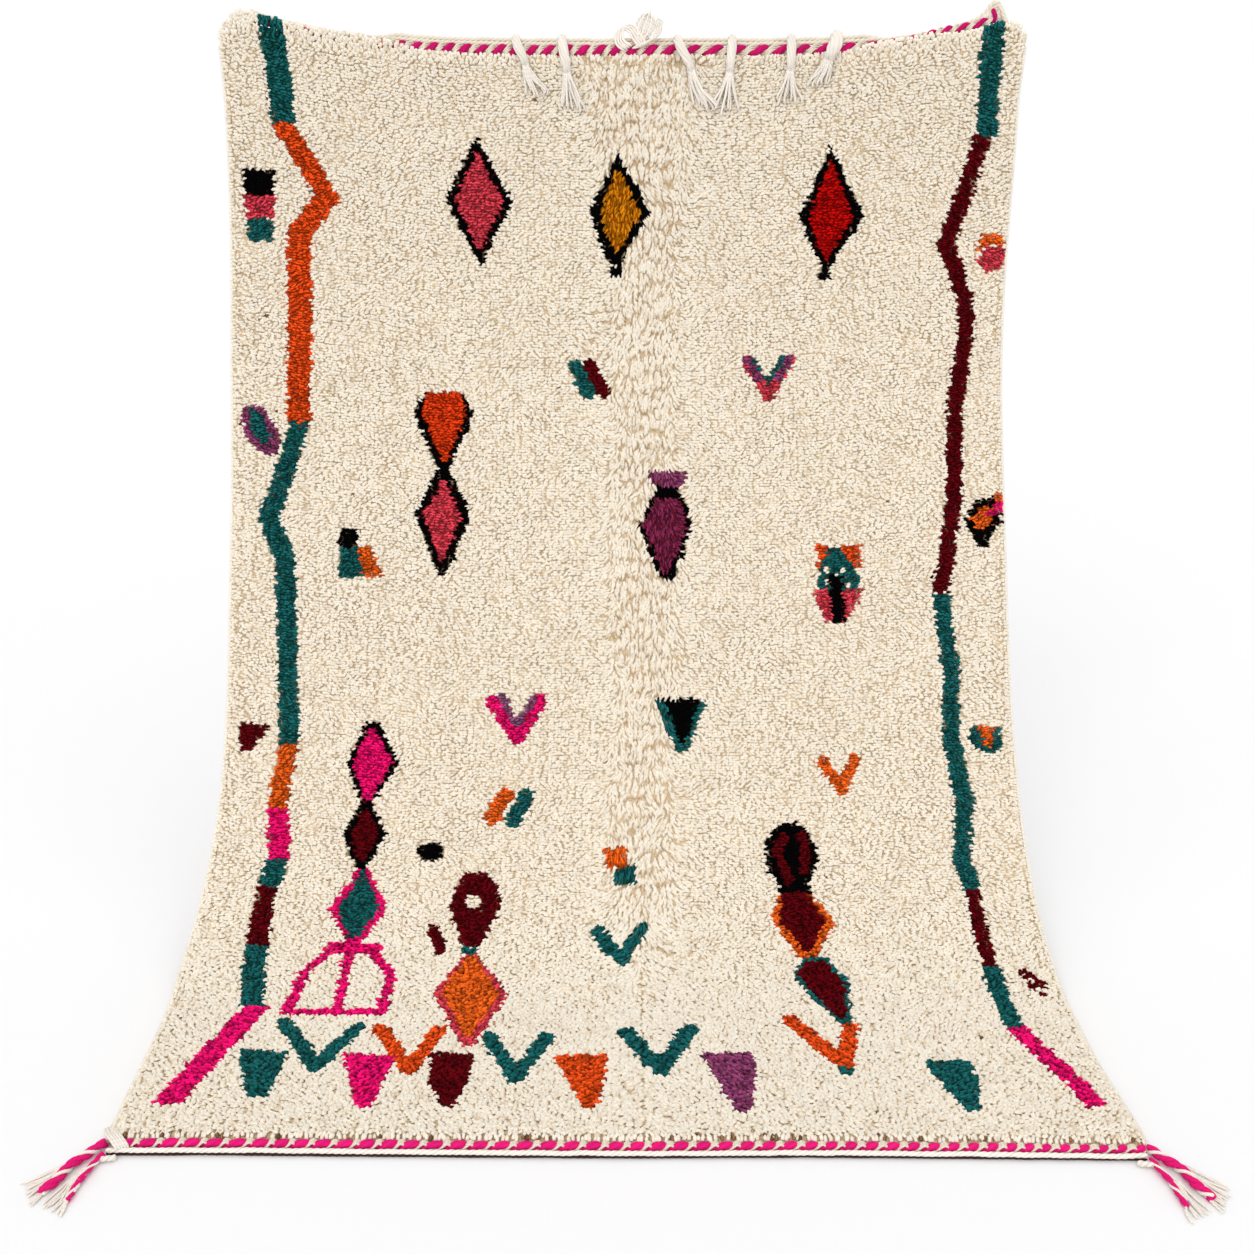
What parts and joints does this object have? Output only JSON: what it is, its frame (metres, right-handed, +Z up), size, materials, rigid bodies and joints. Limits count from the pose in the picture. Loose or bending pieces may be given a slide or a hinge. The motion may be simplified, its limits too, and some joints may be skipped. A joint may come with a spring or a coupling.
{
  "type": "beni ourain rug",
  "caption": "Hand-knotted wool rug with a cream pile and scattered coloured motifs, hung by its head edge and sweeping forward onto the floor, with twined ends and tassels.",
  "frame": {"origin": "on the floor, under the middle of the rug's bounding box", "axes": "+Z up, the pile side faces -Y where the rug hangs and its foot lies towards -Y, +X to the right as the pile is seen"},
  "size_m": [1.6636, 1.328, 1.6128],
  "materials": {
    "wool_pile": "matte",
    "twined_yarn": "matte",
    "cotton_cord": "matte"
  },
  "bodies": {
    "root": {"rug_field": "wool_pile", "head_twining": "twined_yarn", "foot_twining": "twined_yarn", "head_cord": "cotton_cord", "foot_cord": "cotton_cord", "head_tassel_1": "cotton_cord", "head_tassel_2": "cotton_cord", "head_tassel_3": "cotton_cord", "head_tassel_4": "cotton_cord", "head_tassel_5": "cotton_cord", "head_tassel_6": "cotton_cord", "head_tassel_7": "cotton_cord", "corner_tassel_left_outer": "cotton_cord", "corner_tassel_left_inner": "cotton_cord", "corner_tassel_right_outer": "cotton_cord", "corner_tassel_right_inner": "cotton_cord"}
  },
  "joints": []
}
